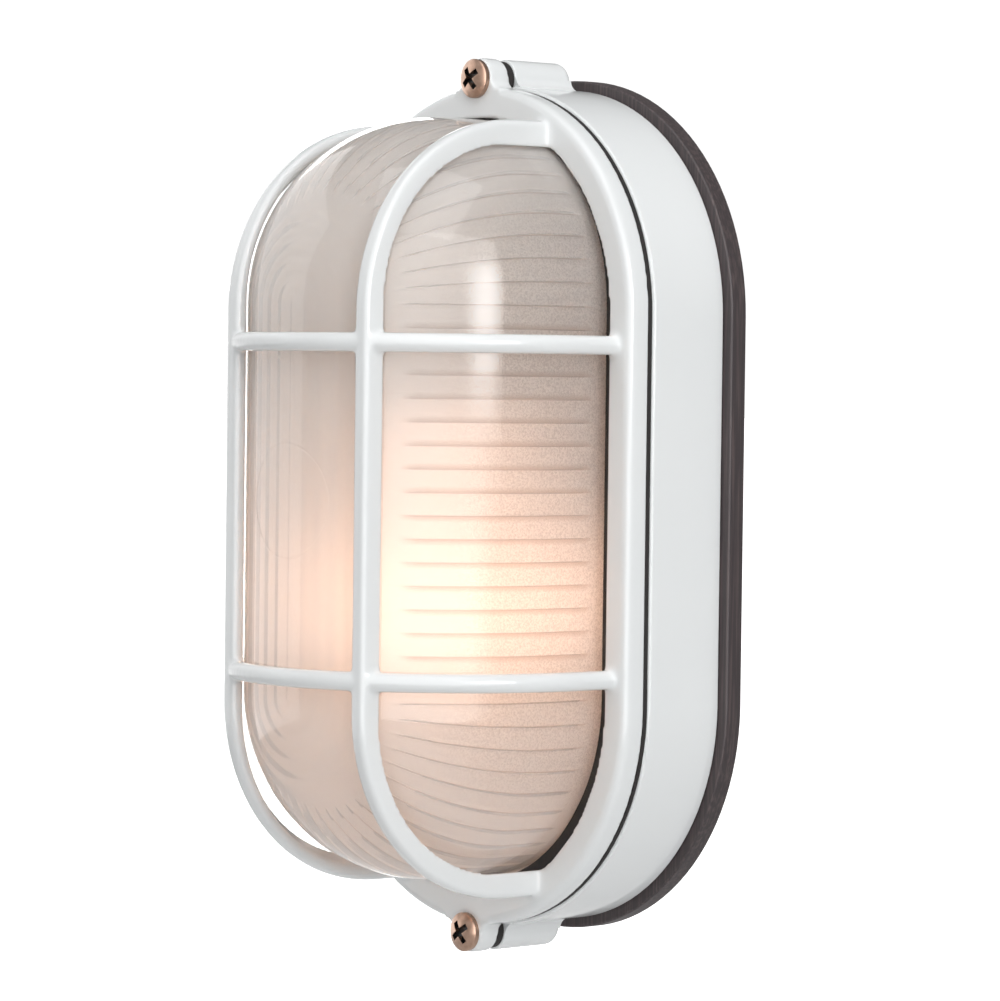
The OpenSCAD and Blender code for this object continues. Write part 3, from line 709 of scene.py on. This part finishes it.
def makeEnvelope(turn, look, ball, middle):  # the ball's arc runs smoothly into the neck's
    cap, neck = turn["capRadius"], turn["neckLength"]
    neckArc = (cap ** 2 + neck ** 2 - ball ** 2) / (2 * (ball - cap))
    touch = math.atan2(neck, cap + neckArc)
    outline = [(0.0, -ball)]
    for i in range(1, turn["ballSteps"] + 1):
        angle = -math.pi / 2 + (touch + math.pi / 2) * i / turn["ballSteps"]
        outline.append((ball * math.cos(angle), ball * math.sin(angle)))
    for i in range(1, turn["neckSteps"] + 1):
        angle = touch * (1 - i / turn["neckSteps"])
        outline.append((cap + neckArc * (1 - math.cos(angle)), neck - neckArc * math.sin(angle)))
    envelope = spinOutline("lamp_envelope", outline, middle, turn["roundSteps"])
    smoothShade(envelope, turn["glassCrease"])
    standFor(envelope, "bulb", makeLampGlass(look, middle.z))


def makeCap(turn, middle, end):  # a wave wound up into a thread, round a plain core with its contact tip
    cap, neck, steps = turn["capRadius"], turn["neckLength"], turn["ridgeSteps"]
    pitch, depth = turn["threadPitch"], turn["threadDepth"]
    ridge = [(cap - depth * (1 - math.cos(2 * math.pi * i / steps)) / 2, pitch * i / steps)
             for i in range(steps + 1)]
    thread = drawOutline("lamp_cap", ridge)
    applyModifier(thread, "SCREW", angle=2 * math.pi, screw_offset=pitch, axis="Z",
                  iterations=int((turn["capLength"] - turn["plainLength"]) / pitch),
                  steps=turn["roundSteps"], render_steps=turn["roundSteps"],
                  use_merge_vertices=True, merge_threshold=hair)
    moveAll(thread, middle + Vector((0, 0, neck + turn["threadGap"])))
    top, rim, tip = neck + turn["capLength"], turn["capRim"], turn["tipRadius"]
    core = spinOutline("lamp_cap_ends", [
        (cap - depth, neck - turn["capOverlap"]), (cap - depth, top - rim),
        (cap - rim, top - turn["rimDrop"]), (tip + rim, top - turn["endDrop"]),
        (tip, top), (tip, top + turn["tipHeight"]), (tip - turn["tipEdge"], end), (0.0, end),
    ], middle, turn["roundSteps"])
    pick(core)
    thread.select_set(True)
    bpy.context.view_layer.objects.active = thread
    bpy.ops.object.join()
    mergeAndTurnOut(thread)
    smoothShade(thread, turn["capCrease"])
    standFor(thread, "bulb", metals["nickel_plate"])


def makeLamp(turn, look):
    low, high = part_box("bulb")
    ball = high.x
    middle = Vector((0, (low.y + high.y) / 2, low.z + ball))
    makeEnvelope(turn, look, ball, middle)
    makeCap(turn, middle, high.z - middle.z)
    print("lamp turned")


makeLamp(lampTurn, lampLook)


# the other solids keep their CAD form: merged, their hard edges broken, and given their finish

solidFinish = {"crease": 35, "edgeSegments": 2, "leadLevels": 2}
# where a screw's recess gets painted shade: depth below the head's top and reach from its middle
screwHead = {
    "nodes": ("top_screw", "bottom_screw"),
    "height": 2.5 * mm,
    "skip": 0.7 * mm,
    "reach": 3.1 * mm,
}
dressing = {  # material, slot and width of the broken edges
    "base_housing": (enamel, "white_enamel", 0.0),
    "rear_gasket": (rubbers["wall_gasket_rubber"], "wall_rubber", 0.0),
    "lens_seal": (rubbers["lens_seal_rubber"], "seal_rubber", 0.15 * mm),
    "top_lug_seal": (rubbers["lens_seal_rubber"], "seal_rubber", 0.2 * mm),
    "bottom_lug_seal": (rubbers["lens_seal_rubber"], "seal_rubber", 0.2 * mm),
    "cable_grommet": (rubbers["lens_seal_rubber"], "seal_rubber", 0.0),
    "top_screw": (metals["nickel_plate"], "nickel_steel", 0.12 * mm),
    "bottom_screw": (metals["nickel_plate"], "nickel_steel", 0.12 * mm),
    "terminal_block": (porcelain, "porcelain", 0.6 * mm),
    "lampholder_body": (porcelain, "porcelain", 0.3 * mm),
    "terminal_inserts": (metals["turned_brass"], "brass", 0.1 * mm),
    "terminal_screws": (metals["turned_brass"], "brass", 0.15 * mm),
    "earth_screw": (metals["turned_brass"], "brass", 0.1 * mm),
    "lampholder_shell": (metals["turned_brass"], "brass", 0.1 * mm),
    "lampholder_contact": (metals["turned_brass"], "brass", 0.2 * mm),
    "lampholder_terminals": (metals["turned_brass"], "brass", 0.1 * mm),
    "holder_bracket": (metals["zinc_plate"], "zinc_steel", 0.25 * mm),
    "bracket_screws": (metals["zinc_plate"], "zinc_steel", 0.1 * mm),
    "lampholder_screws": (metals["zinc_plate"], "zinc_steel", 0.1 * mm),
    "line_lead": (leads["red_lead_insulation"], "lead_red", 0.0),
    "neutral_lead": (leads["white_lead_insulation"], "lead_white", 0.0),
}


def paintRecessShade(piece, node, head):  # painted shade: the faces in the cross of a screw's head get a near-black material, where shade falls
    low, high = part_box(node)
    middle = (low + high) / 2
    piece.data.materials.append(recessShade)
    for face in piece.data.polygons:
        off = face.center - middle
        deep = face.center.y - low.y
        if head["skip"] < deep < head["height"] and math.hypot(off.x, off.z) < head["reach"]:
            # these recess faces get the painted shade
            face.material_index = 1


def dressNode(node, material, edge):
    piece = copyNode(node, node + "_finished")
    crease, levels = solidFinish["crease"], solidFinish["leadLevels"]
    if edge:
        applyModifier(piece, "BEVEL", width=edge, segments=solidFinish["edgeSegments"],
                      limit_method="ANGLE", angle_limit=math.radians(crease))
    if node.endswith("_lead"):
        applyModifier(piece, "SUBSURF", levels=levels, render_levels=levels)
    smoothShade(piece, crease)
    applyModifier(piece, "WEIGHTED_NORMAL", keep_sharp=True)
    standFor(piece, node, material)
    if node in screwHead["nodes"]:
        paintRecessShade(piece, node, screwHead)


for node, (material, slotName, edge) in dressing.items():
    dressNode(node, material, edge)
print("solids dressed:", len(dressing))


# studio: a pale floor well below the light, a white surround, soft boxes and reflector cards

studio = {
    "white": "#ffffff",
    "floorDrop": 0.3,
    "floorSize": 60.0,
    "floorPaint": "#d8d8d8",
    "floorRoughness": 0.8,
    "floorGlow": 0.09,
    "seenWhite": 1.05,
    "surroundBright": 0.64,
    "surroundDim": 0.2,
    "brightSide": (0.62, -0.67, 0.4),
    "dimAt": -0.6,  # how far a direction faces the bright side, from -1 to 1, where the surround is dim
}
softBoxes = {  # a fade has an axis of the cloth, its dark end there and the place where it is bright
    "right_box": {"azimuth": 75.5, "out": 0.9, "up": 0.26, "size": (0.46, 0.56), "watts": 7.2,
                  "fades": (("X", 0.0, 0.5), ("X", 1.0, 0.6), ("Y", 0.0, 0.13), ("Y", 1.0, 0.55))},
    "left_box": {"azimuth": -118, "out": 1.1, "up": 0.1, "size": (0.4, 0.9), "watts": 3.7},
    "top_box": {"azimuth": 30, "out": 0.5, "up": 1.1, "size": (1.0, 1.0), "watts": 5.8},
}
reflectorCards = {  # white cards that show only in glossy reflections
    "upper_card": {"azimuth": 49.5, "out": 1.35, "up": 0.6, "size": (2.2, 1.4), "watts": 23.3,
                   "fades": (("Y", 0.0, 0.143),)},
    "lower_card": {"azimuth": 49.5, "out": 1.38, "up": -0.15, "size": (2.2, 0.5), "watts": 10.0,
                   "fades": (("Y", 1.0, 0.6), ("X", 1.0, 0.7))},
    "left_card": {"azimuth": -72, "out": 1.35, "up": 0.1, "size": (2.0, 2.4), "watts": 19.0},
}


def softenBox(data, fades):  # cloth that fades out towards its edges
    data.use_nodes = True
    tree = data.node_tree
    cloth = addNode(tree, "SeparateXYZ", {"Vector": addNode(tree, "NewGeometry").outputs["Parametric"]})
    strength = 1.0
    for axis, dark, bright in fades:
        fade = addNode(tree, "MapRange", {
            "Value": cloth.outputs[axis], "From Min": min(dark, bright), "From Max": max(dark, bright),
            "To Min": float(dark > bright), "To Max": float(dark < bright)}, interpolation_type="SMOOTHSTEP")
        product = addNode(tree, "Math", {0: strength, 1: fade.outputs["Result"]}, operation="MULTIPLY")
        strength = product.outputs[0]
    tree.links.new(strength, tree.nodes["Emission"].inputs["Strength"])


def placeLight(name, box, onlyReflected):  # a box aims at the object, a card stands upright
    data = bpy.data.lights.new(name, "AREA")
    data.shape = "RECTANGLE"
    data.size, data.size_y = box["size"]
    data.energy = box["watts"]
    if "fades" in box:
        softenBox(data, box["fades"])
    light = addObject(name, data)
    turn = math.radians(box["azimuth"])
    spot = Vector((math.sin(turn) * box["out"], -math.cos(turn) * box["out"], box["up"]))
    light.location = spot
    light.rotation_mode = "QUATERNION"
    aim = Vector((-spot.x, -spot.y, 0.0 if onlyReflected else -spot.z))
    light.rotation_quaternion = aim.to_track_quat("-Z", "Y")
    light.visible_camera = False
    light.visible_diffuse = not onlyReflected
    light.visible_transmission = not onlyReflected


def layFloor(room):
    low = cadBox[0].z - room["floorDrop"]
    bpy.ops.object.select_all(action="DESELECT")
    bpy.ops.mesh.primitive_plane_add(size=room["floorSize"], location=(0, 0, low))
    floor = bpy.context.object
    floor.name = "pale_floor"
    bpy.ops.object.transform_apply(location=True, rotation=True, scale=True)
    # painted white floor: matt, lit from within enough to read as paper white
    material, tree, shader, _ = startMaterial("pale_floor_paint", {
        "Base Color": linearHex(room["floorPaint"]), "Roughness": room["floorRoughness"],
        "Emission Color": linearHex(room["white"])})
    sight = addNode(tree, "LightPath").outputs["Is Camera Ray"]
    seen = addNode(tree, "Math", {0: sight, 1: room["seenWhite"], 2: room["floorGlow"]},
                   operation="MULTIPLY_ADD")
    tree.links.new(seen.outputs[0], shader.inputs["Emission Strength"])
    floor.data.materials.append(material)


def lightSurround(room):  # white to the camera, and brighter on one side to the object
    world = bpy.data.worlds.new("studio_surround")
    bpy.context.scene.world = world
    world.use_nodes = True
    tree = world.node_tree
    tree.nodes.clear()
    white = linearHex(room["white"])
    facing = addNode(tree, "VectorMath", {
        0: addNode(tree, "TexCoord").outputs["Generated"], 1: Vector(room["brightSide"]).normalized()},
        operation="DOT_PRODUCT")
    level = addNode(tree, "MapRange", {
        "Value": facing.outputs["Value"], "From Min": room["dimAt"], "From Max": 1.0,
        "To Min": room["surroundDim"], "To Max": room["surroundBright"]})
    lit = addNode(tree, "Background", {"Color": white, "Strength": level.outputs["Result"]})
    seen = addNode(tree, "Background", {"Color": white, "Strength": room["seenWhite"]})
    sight = addNode(tree, "LightPath").outputs["Is Camera Ray"]
    both = addNode(tree, "MixShader", {"Fac": sight, 1: lit.outputs[0], 2: seen.outputs[0]})
    addNode(tree, "OutputWorld", {"Surface": both.outputs[0]})


layFloor(studio)
lightSurround(studio)
for name, box in softBoxes.items():
    placeLight(name, box, False)
for name, card in reflectorCards.items():
    placeLight(name, card, True)
bpy.context.scene.view_settings.view_transform = "Standard"
print("studio built")
